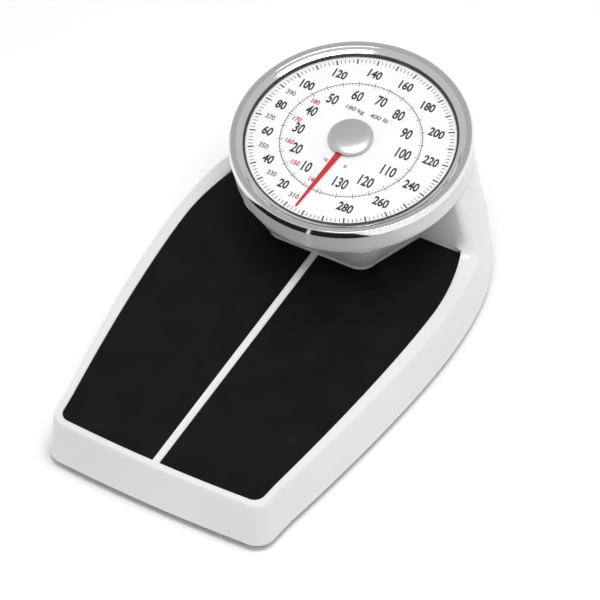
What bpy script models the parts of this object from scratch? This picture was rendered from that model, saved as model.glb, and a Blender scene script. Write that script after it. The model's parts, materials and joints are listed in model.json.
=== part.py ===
"""Mechanical dial platform scale.

A white one-piece cover carries two foot mats and sweeps up behind them into a tower. The cover is the
weighing platform: it rests on four levers that stand on the base tray, and it sinks by one millimetre at
full load. The dial head stands on a steel column inside the tower and does not touch the cover.

Sizes are in millimetres and become metres when a mesh is written. +X is the user's right, +Y points
from the user to the dial, +Z is up, and Z = 0 is the floor.
"""
import math

import bmesh
import bpy
from mathutils import Matrix, Vector

MM = 0.001
GAP = 0.3

# cover: outline, heights and wall
TOP = 50.0
SKIRT_FOOT = 8.0
WALL = 3.2
FRONT_Y = -216.0
REAR_Y = 217.0
WAIST_Y = 45.0
FOOT_HALF_WIDTH = 136.0
FRONT_HALF_WIDTH = 103.0
TOP_HALF_WIDTH = 128.0
MAT_HALF_WIDTH = 118.0
MAT_FRONT_HALF_WIDTH = 91.7
MAT_FRONT_Y = -205.0
MAT_CROWN = 0.00035
MAT_CORNER_Y = -190.0
MAT_BACK_Y = 114.0
MAT_CLEARANCE = 0.4
RECESS = 1.6
MAT_THICK = 1.5
RIB_HALF_WIDTH = 3.1
PLATE_TOP = TOP - WALL - 0.4
PLATE_SHEET = 1.6

# tower under the dial
TOWER_WALL_Y = 114.6
TOWER_CORNER = 7.0
CHIN_FRONT_Y = 55.0
CHIN_TOP_FRONT_Y = 32.0
CHIN_HALF_WIDTH = 50.0
CHIN_TOP_HALF_WIDTH = 70.0
CHIN_CORNER = 15.0
CHIN_TOP_CORNER = 32.0
CHIN_WALL_HALF_WIDTH = 68.0
CHIN_TOP_WALL_HALF_WIDTH = 82.0
WING_TOP_RADIUS = 101.5
WING_CENTRE_Y = 120.0
TOWER_EASE = 0.85
OUTLINE_POWER = 2.6

# dial head, in its own tilted frame: x to the right, y up the dial, z out of the face
DIAL_CENTRE = Vector((0.0, 117.0, 127.0))
DIAL_TILT = math.radians(9.33)
BEZEL_RADIUS = 101.6
VISIBLE_RADIUS = 88.4
COLLAR_RADIUS = 100.3
COLLAR_OPENING = 95.5
COLLAR_TOP = 5.4
COLLAR_FOOT = -19.0
CASE_RADIUS = 93.5
CASE_FLOOR = -14.8
CASE_SHEET = 1.5
FACE_RADIUS = 91.7
FACE_LEVEL = 3.0
RIM_RADIUS = 94.8
POINTER_REACH = 82.0
POINTER_REST = math.radians(6.0)
HUB_CAP_RADIUS = 19.0

# levers
LEVER_ARM = 28.0
LONG_FULCRUM = Vector((78.0, -170.0, 20.0))
LONG_NOSE = Vector((16.0, 193.0, 30.0))
SHORT_FULCRUM = Vector((94.0, 98.0, 26.0))
LEVER_WIDTH = 9.0
LEVER_HEIGHT = 9.0
PIN_RADIUS = 2.2
PIN_LENGTH = 26.0
LINK_Y = (LONG_FULCRUM.y + SHORT_FULCRUM.y) / 2

# spring, crank and rack
SPRING_AXIS = (0.0, 193.0)
SPRING_RADIUS = 7.0
SPRING_WIRE = 1.0
SPRING_PLUG = 5.2
SPRING_FOOT = 33.0
SPRING_HEAD = 78.0
SPRING_TURNS = 13
NOSE_PLATE_TOP = 24.8
SHELF_Z = 86.0
WHEEL_RADIUS = 25.6
WHEEL_Z = 89.0
WHEEL_THICK = 7.0
CRANK_Z = 60.0
CRANK_IN = 27.0
CRANK_OUT = 44.0
CRANK_LEAN = math.radians(13.75)
CRANK_IN_Y = 178.0
CRANK_OUT_Y = 111.5
ROD_Y = CRANK_IN_Y - 2.7
PINION_RADIUS = 2.47
PINION_TEETH = 12
RACK_LEVEL = -24.0
RACK_PIN_HEIGHT = 101.9
COLUMN_HALF = 46.0
COLUMN_SHEET = 2.2
COLUMN_FRONT_Y = 100.0
COLUMN_REAR_Y = 166.0

# base
TRAY_FLOOR = 4.3
TRAY_SHEET = 1.5
TRAY_EDGE = 16.0
TRAY_INSET = 9.0
FOOT_RADIUS = 13.0
FOOT_PLACES = {"left_front": (-72.0, -176.0), "right_front": (72.0, -176.0),
               "left_rear": (-84.0, 140.0), "right_rear": (84.0, 140.0)}


# ---------------------------------------------------------------- small helpers
def clear_scene():
    for obj in list(bpy.data.objects):
        bpy.data.objects.remove(obj, do_unlink=True)


def material(name, colour, roughness, metallic=0.0, alpha=1.0):
    found = bpy.data.materials.get(name)
    if found:
        return found
    made = bpy.data.materials.new(name)
    made.use_nodes = True
    shader = made.node_tree.nodes["Principled BSDF"]
    shader.inputs["Base Color"].default_value = (*colour, 1.0)
    shader.inputs["Roughness"].default_value = roughness
    shader.inputs["Metallic"].default_value = metallic
    shader.inputs["Alpha"].default_value = alpha
    made.diffuse_color = (*colour, alpha)
    return made


def white_shell():
    return material("white_shell", (0.86, 0.87, 0.87), 0.28)


def mat_rubber():
    return material("mat_rubber", (0.012, 0.011, 0.012), 0.55)


def chrome():
    return material("chrome", (0.82, 0.83, 0.84), 0.08, 1.0)


def zinc_steel():
    return material("zinc_steel", (0.55, 0.56, 0.57), 0.38, 1.0)


def spring_steel():
    return material("spring_steel", (0.30, 0.31, 0.33), 0.35, 1.0)


def brass():
    return material("brass", (0.72, 0.53, 0.22), 0.30, 1.0)


def face_white():
    return material("face_white", (0.90, 0.90, 0.89), 0.45)


def pointer_red():
    return material("pointer_red", (0.75, 0.02, 0.03), 0.35)


def clear_lens():
    return material("clear_lens", (0.95, 0.97, 0.98), 0.05, 0.0, 0.15)


def foot_rubber():
    return material("foot_rubber", (0.03, 0.03, 0.03), 0.7)


def grey_plastic():
    return material("grey_plastic", (0.25, 0.26, 0.27), 0.4)


def mesh_object(name, points, faces, look, pivot=(0.0, 0.0, 0.0), smooth=None):
    """Write points (millimetres, world frame) as an object whose origin is at the pivot."""
    origin = Vector(pivot)
    mesh = bpy.data.meshes.new(name)
    mesh.from_pydata([(Vector(point) - origin) * MM for point in points], [], faces)
    work = bmesh.new()
    work.from_mesh(mesh)
    bmesh.ops.recalc_face_normals(work, faces=work.faces)
    work.to_mesh(mesh)
    work.free()
    mesh.materials.append(look)
    obj = bpy.data.objects.new(name, mesh)
    obj.location = origin * MM
    bpy.context.collection.objects.link(obj)
    if smooth is not None:
        mesh.shade_smooth()
        mesh.set_sharp_from_angle(angle=math.radians(smooth))
    return obj


def combine(obj, tool, operation):
    """Apply one exact Boolean to obj and remove the tool."""
    modifier = obj.modifiers.new("combine", "BOOLEAN")
    modifier.operation = operation
    modifier.solver = "EXACT"
    modifier.object = tool
    bpy.context.view_layer.update()
    graph = bpy.context.evaluated_depsgraph_get()
    result = bpy.data.meshes.new_from_object(obj.evaluated_get(graph))
    obj.modifiers.clear()
    obj.data = result
    bpy.data.objects.remove(tool, do_unlink=True)
    return obj


def loft(rings, close_ends=True, ring_closed=False):
    """Points and faces that join equal rings; ring_closed joins the last ring to the first."""
    count = len(rings[0])
    points = [point for ring in rings for point in ring]
    faces = []
    spans = len(rings) if ring_closed else len(rings) - 1
    for level in range(spans):
        low = level * count
        high = ((level + 1) % len(rings)) * count
        for step in range(count):
            after = (step + 1) % count
            faces.append((low + step, low + after, high + after, high + step))
    if close_ends and not ring_closed:
        faces.append(tuple(reversed(range(count))))
        faces.append(tuple(range((len(rings) - 1) * count, len(rings) * count)))
    return points, faces


def extrusion(outline, start, end, axis):
    """A prism: the outline's two numbers fill the other two axes in X, Y, Z order."""
    def place(pair, depth):
        numbers = list(pair)
        numbers.insert("xyz".index(axis), depth)
        return tuple(numbers)
    return loft([[place(pair, depth) for pair in outline] for depth in (start, end)])


def rectangle(low_a, high_a, low_b, high_b):
    return [(low_a, low_b), (high_a, low_b), (high_a, high_b), (low_a, high_b)]


def circle(radius, count, centre=(0.0, 0.0)):
    steps = [2 * math.pi * step / count for step in range(count)]
    return [(centre[0] + radius * math.cos(turn), centre[1] + radius * math.sin(turn)) for turn in steps]


def turned(profile, count):
    """Revolve a closed profile of (radius, height) pairs about Z; radius 0 is allowed at its two ends."""
    solid = profile[0][0] == 0.0 and profile[-1][0] == 0.0
    body = profile[1:-1] if solid else profile
    rings = []
    for radius, height in body:
        rings.append([(x, y, height) for x, y in circle(radius, count)])
    points, faces = loft(rings, close_ends=False, ring_closed=not solid)
    if solid:
        last = (len(rings) - 1) * count
        points += [(0.0, 0.0, profile[0][1]), (0.0, 0.0, profile[-1][1])]
        first_tip = len(points) - 2
        for step in range(count):
            after = (step + 1) % count
            faces.append((first_tip, after, step))
            faces.append((first_tip + 1, last + step, last + after))
    return points, faces


def moved(shape, offset):
    points, faces = shape
    return [tuple(Vector(point) + Vector(offset)) for point in points], faces


def on_dial(shape, turn=0.0):
    """Move a shape from the dial's own frame to the world frame, after a turn about the dial's axis."""
    tilt = Matrix.Rotation(DIAL_TILT, 4, "X")
    place = Matrix.Translation(DIAL_CENTRE) @ tilt @ Matrix.Rotation(turn, 4, "Z")
    points, faces = shape
    return [tuple(place @ Vector(point)) for point in points], faces


def dial_point(x, y, z):
    return on_dial(([(x, y, z)], []))[0][0]


def blend(start, end, amount):
    return start + (end - start) * amount


# ---------------------------------------------------------------- outlines of the cover
def side_half_width(y, front, waist):
    """Half width of the cover ahead of its waist; it narrows towards the user."""
    back = max(0.0, (WAIST_Y - y) / (WAIST_Y - MAT_CORNER_Y))
    return waist - (waist - front) * back ** 1.5


def rear_half_width(y, waist, centre, end, power):
    reach = min(1.0, max(0.0, (y - centre) / (end - centre)))
    return waist * (1.0 - reach ** power) ** (1.0 / power)


def skirt_ring(height):
    """Half outline of the skirt at a height share: 0 at its foot, 1 at the edge of the top."""
    half_front = blend(FRONT_HALF_WIDTH, MAT_FRONT_HALF_WIDTH + 4.6, height)
    half_waist = blend(FOOT_HALF_WIDTH, TOP_HALF_WIDTH, height)
    front = blend(FRONT_Y, MAT_FRONT_Y - 5.4, height)
    corner = blend(19.0, 13.5, height)
    points = []
    turn_x = half_front - corner
    turn_y = front + corner
    for share in (0.0, 0.3, 0.65):
        points.append((turn_x * share, front + MAT_CROWN * (turn_x * share) ** 2))
    for share in (0.0, 0.25, 0.5, 0.75, 1.0):
        turn = math.radians(-90 + 90 * share)
        lift = MAT_CROWN * turn_x ** 2 * (1 - share)
        points.append((turn_x + corner * math.cos(turn), turn_y + corner * math.sin(turn) + lift))
    side_start = turn_y
    side_end = TOWER_WALL_Y - 2.0
    for share in (0.1, 0.22, 0.34, 0.46, 0.58, 0.70, 0.80, 0.88, 0.95, 1.0):
        y = blend(side_start, side_end, share)
        width = side_half_width(y, half_front, half_waist)
        if y > WAIST_Y:
            width = rear_half_width(y, half_waist, WAIST_Y, REAR_Y, OUTLINE_POWER)
        points.append((width, y))
    return points


def rear_run(waist, centre, end, power, start_y, count):
    """Half outline behind the tower wall, from start_y to the rear centre."""
    share = min(1.0, max(0.0, (start_y - centre) / (end - centre)))
    first = math.asin(share ** (power / 2.0))
    points = []
    for step in range(count):
        turn = blend(first, math.pi / 2, step / (count - 1))
        x = waist * max(0.0, math.cos(turn)) ** (2.0 / power)
        y = centre + (end - centre) * math.sin(turn) ** (2.0 / power)
        points.append((0.0 if step == count - 1 else x, y))
    return points


def tower_height(y, share):
    """Height on the tower at a share of the way from the top face to the collar's tilted foot plane."""
    climb = (y - DIAL_CENTRE.y) * math.tan(DIAL_TILT)
    collar_foot = DIAL_CENTRE.z + COLLAR_FOOT / math.cos(DIAL_TILT) + climb
    return blend(TOP, collar_foot, share)


def tower_outside(share):
    """Waist, centre, rear end and power of the tower's outer outline at a height share."""
    ease = (1.0 - share) ** TOWER_EASE
    top_end = WING_CENTRE_Y + (COLLAR_RADIUS - 0.8) * math.cos(DIAL_TILT)
    waist = blend(WING_TOP_RADIUS, TOP_HALF_WIDTH, ease)
    centre = blend(WING_CENTRE_Y, WAIST_Y, ease)
    end = blend(top_end, REAR_Y - 1.0, ease)
    return waist, centre, end, blend(2.0, OUTLINE_POWER, ease)


REAR_COUNT = 11
CORNER_SHARES = (0.0, 0.33, 0.67, 1.0)


def wing_corner_x(share):
    """Where the flat wall ends and the wing's rounded corner starts, at a height share."""
    waist, centre, end, power = tower_outside(share)
    return rear_half_width(TOWER_WALL_Y + TOWER_CORNER, waist, centre, end, power) - TOWER_CORNER


def tower_ring(front_share, rear_share):
    """Half outline of the tower: chin, wall beside it, rounded wing corner and rear."""
    half = blend(CHIN_HALF_WIDTH, CHIN_TOP_HALF_WIDTH, front_share)
    front = blend(CHIN_FRONT_Y, CHIN_TOP_FRONT_Y, front_share)
    corner = blend(CHIN_CORNER, CHIN_TOP_CORNER, front_share)
    wall_x = blend(CHIN_WALL_HALF_WIDTH, CHIN_TOP_WALL_HALF_WIDTH, front_share)
    pairs = []
    for share in (0.0, 0.3, 0.65):
        pairs.append(((half - corner) * share, front))
    for share in (0.0, 0.25, 0.5, 0.75, 1.0):
        turn = math.radians(-90 + 80 * share)
        pairs.append((half - corner + corner * math.cos(turn), front + corner + corner * math.sin(turn)))
    last = pairs[-1]
    for share in (0.35, 0.7, 1.0):
        pairs.append((blend(last[0], wall_x, share), blend(last[1], TOWER_WALL_Y, share)))
    edge_x = wing_corner_x(front_share)
    for share in (0.12, 0.25, 0.38, 0.51, 0.64, 0.77, 0.89):
        pairs.append((blend(wall_x, edge_x, share), TOWER_WALL_Y))
    points = [(x, y, tower_height(y, front_share)) for x, y in pairs]
    for share in CORNER_SHARES:
        level = blend(front_share, rear_share, share)
        turn = math.radians(-90 + 90 * share)
        x = wing_corner_x(level) + TOWER_CORNER * math.cos(turn)
        y = TOWER_WALL_Y + TOWER_CORNER + TOWER_CORNER * math.sin(turn)
        points.append((x, y, tower_height(y, level)))
    outer = tower_outside(rear_share)
    for x, y in rear_run(*outer, TOWER_WALL_Y + TOWER_CORNER + 5.0, REAR_COUNT):
        points.append((x, y, tower_height(y, rear_share)))
    return points


def cover_skirt_ring(height, z, rear_share, rear_z=None):
    """Half ring of the skirt; behind the wall it may already climb the tower."""
    points = [(x, y, z) for x, y in skirt_ring(height)]
    last_x, last_y = points[-1][0], points[-1][1]
    start_y = TOWER_WALL_Y + TOWER_CORNER + 5.0
    if rear_z is None:
        run = rear_run(*tower_outside(rear_share), start_y, REAR_COUNT)
        rear = [(x, y, tower_height(y, rear_share)) for x, y in run]
    else:
        waist = blend(FOOT_HALF_WIDTH, TOP_HALF_WIDTH, height)
        end = blend(REAR_Y, REAR_Y - 1.0, height)
        run = rear_run(waist, WAIST_Y, end, OUTLINE_POWER, start_y, REAR_COUNT)
        rear = [(x, y, rear_z) for x, y in run]
    target = rear[0]
    for share in (0.2, 0.4, 0.6, 0.8):
        bulge = 0.35 * math.sin(math.pi * share)
        points.append((blend(last_x, target[0], share) + bulge, blend(last_y, target[1], share),
                       blend(z, target[2], share * share)))
    return points + rear


def collar_ring(radius, level, count, wing_radius):
    """Half ring on the collar, matched by number to the tower's half ring; the wing has its own radius."""
    front = count - REAR_COUNT
    points = []
    for step in range(count):
        if step < front:
            turn = blend(-90.0, 6.0, step / front)
        else:
            turn = blend(6.0, 90.0, (step - front) / (REAR_COUNT - 1))
        across = math.cos(math.radians(turn))
        on_wing = min(max(0.0, (turn + 25.0) / 31.0), 1.5 * across, 1.0)
        reach = blend(radius, wing_radius, on_wing)
        x = 0.0 if step in (0, count - 1) else reach * across
        points.append(dial_point(x, reach * math.sin(math.radians(turn)), level))
    return points


def whole_ring(half):
    """Mirror a half ring, whose first and last points lie on X = 0."""
    return half + [(-x, y, z) for x, y, z in reversed(half[1:-1])]


def cover_rings():
    skirts = [(0.0, SKIRT_FOOT, 0.0, SKIRT_FOOT), (0.55, 38.0, 0.0, 38.0), (0.72, 46.0, 0.0, 46.0),
              (0.86, 49.2, 0.0, 50.0)]
    halves = [cover_skirt_ring(*numbers) for numbers in skirts]
    halves.append(cover_skirt_ring(1.0, TOP, 0.05))
    halves.append(tower_ring(0.0, 0.12))
    halves.append(tower_ring(0.10, 0.22))
    halves.append(tower_ring(0.45, 0.50))
    halves.append(tower_ring(1.0, 0.97))
    count = len(halves[0])
    edge = COLLAR_RADIUS
    halves.append(collar_ring(edge - 0.6, COLLAR_FOOT + 0.2, count, WING_TOP_RADIUS - 0.1))
    halves.append(collar_ring(edge, COLLAR_FOOT + 1.2, count, WING_TOP_RADIUS - 0.2))
    halves.append(collar_ring(edge, COLLAR_TOP - 1.0, count, edge))
    halves.append(collar_ring(edge - 1.0, COLLAR_TOP, count, edge - 1.0))
    halves.append(collar_ring(COLLAR_OPENING, COLLAR_TOP, count, COLLAR_OPENING))
    return [whole_ring(half) for half in halves]


def mat_half_outline(clearance):
    """Outline of the right mat, grown by the clearance; clearance 0 is the mat itself."""
    grow = clearance
    half = MAT_FRONT_HALF_WIDTH
    corner = 9.0
    points = [(RIB_HALF_WIDTH + MAT_CLEARANCE - grow, MAT_FRONT_Y - grow)]
    for share in (0.35, 0.7):
        x = (half - corner) * share
        points.append((x, MAT_FRONT_Y + MAT_CROWN * x * x - grow))
    front = MAT_FRONT_Y + MAT_CROWN * (half - corner) ** 2
    for share in (0.0, 0.33, 0.67, 1.0):
        turn = math.radians(-90 + 88 * share)
        reach = corner + grow
        points.append((half - corner + reach * math.cos(turn), front + corner + reach * math.sin(turn)))
    for share in (0.12, 0.27, 0.42, 0.57, 0.72, 0.86, 1.0):
        y = blend(front + corner, WAIST_Y, share)
        points.append((side_half_width(y, half, MAT_HALF_WIDTH) + grow, y))
    for share in (0.35, 0.65, 0.85, 1.0):
        y = blend(WAIST_Y, MAT_BACK_Y + grow, share)
        drop = (share ** 2) * 11.0
        points.append((MAT_HALF_WIDTH - drop + grow, y))
    inner = CHIN_WALL_HALF_WIDTH + MAT_CLEARANCE - grow
    points.append((inner, MAT_BACK_Y + grow))
    turn_x = CHIN_HALF_WIDTH - CHIN_CORNER
    reach = CHIN_CORNER + MAT_CLEARANCE - grow
    for share in (1.0, 0.75, 0.5, 0.25, 0.0):
        turn = math.radians(-90 + 80 * share)
        points.append((turn_x + reach * math.cos(turn), CHIN_FRONT_Y + CHIN_CORNER + reach * math.sin(turn)))
    points.append((RIB_HALF_WIDTH + MAT_CLEARANCE - grow, CHIN_FRONT_Y - MAT_CLEARANCE + grow))
    return points


def platform_cover():
    rings = cover_rings()
    points, faces = loft(rings, close_ends=False)
    look = white_shell()
    cover = mesh_object("platform_cover", points, faces, look)
    shell = cover.modifiers.new("shell", "SOLIDIFY")
    shell.thickness = WALL * MM
    shell.offset = -1.0
    shell.use_even_offset = True
    shell.use_quality_normals = True
    for side in (1.0, -1.0):
        outline = [(x * side, y) for x, y in mat_half_outline(MAT_CLEARANCE)]
        tool = mesh_object("recess", *extrusion(outline, TOP - RECESS, TOP + 6.0, "z"), look)
        combine(cover, tool, "DIFFERENCE")
    slot_half = 19.0
    slot = rectangle(-slot_half, slot_half, WHEEL_Z - 2.6, WHEEL_Z + WHEEL_THICK + 1.6)
    tool = mesh_object("wheel_slot", *extrusion(slot, 203.0, 225.0, "y"), look)
    combine(cover, tool, "DIFFERENCE")
    cover.data.shade_smooth()
    cover.data.set_sharp_from_angle(angle=math.radians(35))
    return cover


def foot_mats():
    for name, side in (("mat_right", 1.0), ("mat_left", -1.0)):
        outline = [(x * side, y) for x, y in mat_half_outline(0.0)]
        low = TOP - RECESS + GAP
        mesh_object(name, *extrusion(outline, low, low + MAT_THICK, "z"), mat_rubber())


def platform_plate():
    """Steel plate under the mats that takes the load to the four posts."""
    outline = [(-84, -186), (84, -186), (104, 40), (104, 86), (-104, 86), (-104, 40)]
    plate = extrusion(outline, PLATE_TOP - PLATE_SHEET, PLATE_TOP, "z")
    mesh_object("platform_plate", *plate, zinc_steel())


# ---------------------------------------------------------------- levers
def lever_place(fulcrum, toward, distance):
    """Point on a lever's centre line at a distance along Y from its fulcrum."""
    share = distance / (toward.y - fulcrum.y)
    return fulcrum + (toward - fulcrum) * share


def short_nose():
    link = lever_place(LONG_FULCRUM, LONG_NOSE, LINK_Y - LONG_FULCRUM.y)
    rise = PIN_RADIUS + GAP + LEVER_HEIGHT / 2
    return Vector((link.x + 12.0, LINK_Y, link.z + rise))


def lever_bar(name, side, fulcrum, nose, overrun, pin_places, pivot):
    """A bar whose centre line runs from behind its fulcrum to past its nose, drilled for its pins."""
    line = nose - fulcrum
    line.normalize()
    start = fulcrum - line * 8.0
    end = nose + line * overrun
    half_w = LEVER_WIDTH / 2
    half_h = LEVER_HEIGHT / 2
    rings = []
    for place in (start, end):
        rings.append([(side * place.x + a * half_w, place.y, place.z + b * half_h)
                      for a, b in ((-1, -1), (1, -1), (1, 1), (-1, 1))])
    bar = mesh_object(name, *loft(rings), zinc_steel(), pivot)
    for place in pin_places:
        hole = circle(PIN_RADIUS + GAP, 12, (place.y, place.z))
        centre = side * place.x
        tool = mesh_object("drill", *extrusion(hole, centre - 20.0, centre + 20.0, "x"), zinc_steel())
        combine(bar, tool, "DIFFERENCE")
    return bar


def cross_pin(name, side, place, pivot, length=PIN_LENGTH, shift=0.0):
    profile = circle(PIN_RADIUS, 12, (place.y, place.z))
    centre = side * (place.x + shift)
    rod = extrusion(profile, centre - length / 2, centre + length / 2, "x")
    mesh_object(name, *rod, spring_steel(), pivot, 40)


def levers():
    for word, side in (("right", 1.0), ("left", -1.0)):
        pivot = (side * LONG_FULCRUM.x, LONG_FULCRUM.y, LONG_FULCRUM.z)
        load = lever_place(LONG_FULCRUM, LONG_NOSE, LEVER_ARM)
        link = lever_place(LONG_FULCRUM, LONG_NOSE, LINK_Y - LONG_FULCRUM.y)
        name = "long_lever_" + word
        lever_bar(name, side, LONG_FULCRUM, LONG_NOSE, 5.0, (LONG_FULCRUM, load, link), pivot)
        cross_pin(name + "_fulcrum_pin", side, LONG_FULCRUM, pivot)
        cross_pin(name + "_load_pin", side, load, pivot)
        cross_pin(name + "_link_pin", side, link, pivot, 30.0, 7.0)
        pivot = (side * SHORT_FULCRUM.x, SHORT_FULCRUM.y, SHORT_FULCRUM.z)
        nose = short_nose()
        load = lever_place(SHORT_FULCRUM, nose, -LEVER_ARM)
        name = "short_lever_" + word
        lever_bar(name, side, SHORT_FULCRUM, nose, 6.0, (SHORT_FULCRUM, load), pivot)
        cross_pin(name + "_fulcrum_pin", side, SHORT_FULCRUM, pivot)
        cross_pin(name + "_load_pin", side, load, pivot)


def fork(name, side, place, foot, head, opens_up, look):
    """A forked bracket that straddles a lever; its two cheeks carry a notch for the lever's pin."""
    half_gap = LEVER_WIDTH / 2 + 3.0
    cheek = 2.0
    web = 2.2
    half_y = 7.0
    outer = half_gap + cheek
    if opens_up:
        section = [(-outer, foot), (outer, foot), (outer, head), (half_gap, head), (half_gap, foot + web),
                   (-half_gap, foot + web), (-half_gap, head), (-outer, head)]
    else:
        section = [(-outer, foot), (-half_gap, foot), (-half_gap, head - web), (half_gap, head - web),
                   (half_gap, foot), (outer, foot), (outer, head), (-outer, head)]
    section = [(side * place.x + x, z) for x, z in section]
    bracket = mesh_object(name, *extrusion(section, place.y - half_y, place.y + half_y, "y"), look)
    notch = PIN_RADIUS + GAP
    edge = head if opens_up else foot
    mouth = 2.0 if opens_up else -2.0
    cut = [(place.y - notch, edge + mouth), (place.y - notch, place.z)]
    for step in range(1, 6):
        turn = math.radians(180 + 30 * step) if opens_up else math.radians(180 - 30 * step)
        cut.append((place.y + notch * math.cos(turn), place.z + notch * math.sin(turn)))
    cut += [(place.y + notch, place.z), (place.y + notch, edge + mouth)]
    centre = side * place.x
    tool = mesh_object("notch", *extrusion(cut, centre - 30.0, centre + 30.0, "x"), look)
    return combine(bracket, tool, "DIFFERENCE")


def brackets_and_posts():
    floor = TRAY_FLOOR + TRAY_SHEET + GAP
    post_head = PLATE_TOP - PLATE_SHEET - GAP
    for word, side in (("right", 1.0), ("left", -1.0)):
        long_load = lever_place(LONG_FULCRUM, LONG_NOSE, LEVER_ARM)
        short_load = lever_place(SHORT_FULCRUM, short_nose(), -LEVER_ARM)
        look = zinc_steel()
        for end, fulcrum in (("front_", LONG_FULCRUM), ("rear_", SHORT_FULCRUM)):
            fork("fulcrum_bracket_" + end + word, side, fulcrum, floor, fulcrum.z + 4.0, True, look)
        for end, load in (("front_", long_load), ("rear_", short_load)):
            fork("load_post_" + end + word, side, load, load.z - 3.0, post_head, False, look)


# ---------------------------------------------------------------- base
def tray_outline(inset):
    """Outline of the tray: the skirt's foot, set in on all sides."""
    half = [(x, y) for x, y, z in cover_skirt_ring(0.0, 0.0, 0.0, 0.0)]
    ring = [Vector((x, y)) for x, y, z in whole_ring([(x, y, 0.0) for x, y in half])]
    count = len(ring)
    points = []
    for step in range(count):
        run = ring[(step + 1) % count] - ring[step - 1]
        inward = Vector((-run.y, run.x)).normalized()
        points.append(tuple(ring[step] + inward * inset))
    return points


def base_tray():
    outer = tray_outline(TRAY_INSET)
    inner = tray_outline(TRAY_INSET + TRAY_SHEET)
    floor = TRAY_FLOOR + TRAY_SHEET
    rings = [[(x, y, TRAY_FLOOR) for x, y in inner], [(x, y, TRAY_FLOOR + 1.0) for x, y in outer],
             [(x, y, TRAY_EDGE) for x, y in outer], [(x, y, TRAY_EDGE) for x, y in inner],
             [(x, y, floor) for x, y in inner]]
    mesh_object("base_tray", *loft(rings), zinc_steel(), smooth=35)


def feet():
    profile = [(0.0, 0.0), (FOOT_RADIUS - 1.5, 0.0), (FOOT_RADIUS, 1.2), (FOOT_RADIUS, TRAY_FLOOR - GAP),
               (0.0, TRAY_FLOOR - GAP)]
    for word, place in FOOT_PLACES.items():
        shape = moved(turned(profile, 20), (place[0], place[1], 0.0))
        mesh_object("foot_" + word, *shape, foot_rubber(), smooth=35)


def column():
    """Steel portal that stands on the tray over the long levers and carries the dial case."""
    half = COLUMN_HALF
    sheet = COLUMN_SHEET
    flange = 13.0
    foot = TRAY_FLOOR + TRAY_SHEET + GAP
    plane = CASE_FLOOR - GAP
    rings = []
    for y in (COLUMN_FRONT_Y, COLUMN_REAR_Y):
        climb = (y - DIAL_CENTRE.y) * math.tan(DIAL_TILT)
        head = DIAL_CENTRE.z + plane / math.cos(DIAL_TILT) + climb
        rings.append([(-half - flange, y, foot), (-half + sheet, y, foot), (-half + sheet, y, head - sheet),
                      (half - sheet, y, head - sheet), (half - sheet, y, foot), (half + flange, y, foot),
                      (half + flange, y, foot + sheet), (half, y, foot + sheet), (half, y, head),
                      (-half, y, head), (-half, y, foot + sheet), (-half - flange, y, foot + sheet)])
    portal = mesh_object("column", *loft(rings), zinc_steel())
    tool = mesh_object("drill", *on_dial(moved(turned_rod(5.0, 30.0, 20), (0, 0, -35.0))), zinc_steel())
    combine(portal, tool, "DIFFERENCE")


def turned_rod(radius, length, count):
    return turned([(0.0, 0.0), (radius, 0.0), (radius, length), (0.0, length)], count)


def tube(outer, inner, low, high, count):
    return turned([(outer, low), (outer, high), (inner, high), (inner, low)], count)


def spring_bracket():
    """Shelf between the column's legs that holds the thumbwheel and the spring hanger."""
    half = COLUMN_HALF - COLUMN_SHEET - GAP
    sheet = COLUMN_SHEET
    low = SHELF_Z
    section = [(-half, low), (half, low), (half, low + 14.0), (half - sheet, low + 14.0),
               (half - sheet, low + sheet), (-half + sheet, low + sheet), (-half + sheet, low + 14.0),
               (-half, low + 14.0)]
    shelf = mesh_object("spring_bracket", *extrusion(section, 140.0, 206.0, "y"), zinc_steel())
    hole = moved(turned_rod(3.2, 20.0, 16), (*SPRING_AXIS, SHELF_Z - 10.0))
    combine(shelf, mesh_object("drill", *hole, zinc_steel()), "DIFFERENCE")
    for side in (1.0, -1.0):
        corner = rectangle(side * 30.0, side * 60.0, COLUMN_REAR_Y + GAP, 210.0)
        tool = mesh_object("notch", *extrusion(corner, SHELF_Z - 5.0, SHELF_Z + 20.0, "z"), zinc_steel())
        combine(shelf, tool, "DIFFERENCE")


def crank_bracket():
    """Two cheeks under the shelf that hold the crank's spindle."""
    head = SHELF_Z - GAP
    low = CRANK_Z - 6.0
    sheet = 2.2
    front = 128.0
    rear = 165.0
    section = [(front, low), (front + sheet, low), (front + sheet, head - sheet),
               (rear - sheet, head - sheet), (rear - sheet, low), (rear, low), (rear, head), (front, head)]
    bracket = mesh_object("crank_bracket", *extrusion(section, -9.0, 9.0, "x"), zinc_steel())
    hole = circle(2.4, 14, (0.0, CRANK_Z))
    combine(bracket, mesh_object("drill", *extrusion(hole, 110.0, 180.0, "y"), zinc_steel()), "DIFFERENCE")


# ---------------------------------------------------------------- spring, plate, crank, rack
def nose_plate():
    """Plate under the lever noses; the main spring holds it up by its stud."""
    low = NOSE_PLATE_TOP - 2.0
    outline = [(-34, 171), (-20, 171), (-20, 182), (25, 182), (25, 203), (-25, 203), (-34, 190)]
    plate = mesh_object("nose_plate", *extrusion(outline, low, NOSE_PLATE_TOP, "z"), zinc_steel())
    profile = [(0.0, low + 0.5), (3.0, low + 0.5), (3.0, SPRING_FOOT + 1.0), (SPRING_PLUG, SPRING_FOOT + 2.0),
               (SPRING_PLUG, SPRING_FOOT + 8.0), (0.0, SPRING_FOOT + 8.0)]
    stud = moved(turned(profile, 16), (*SPRING_AXIS, 0.0))
    combine(plate, mesh_object("stud", *stud, zinc_steel()), "UNION")
    hole = moved(turned_rod(1.6, 12.0, 12), (-CRANK_IN, ROD_Y, low - 5.0))
    combine(plate, mesh_object("drill", *hole, zinc_steel()), "DIFFERENCE")


def crank_input_height():
    return CRANK_Z + CRANK_IN * math.sin(CRANK_LEAN)


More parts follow.
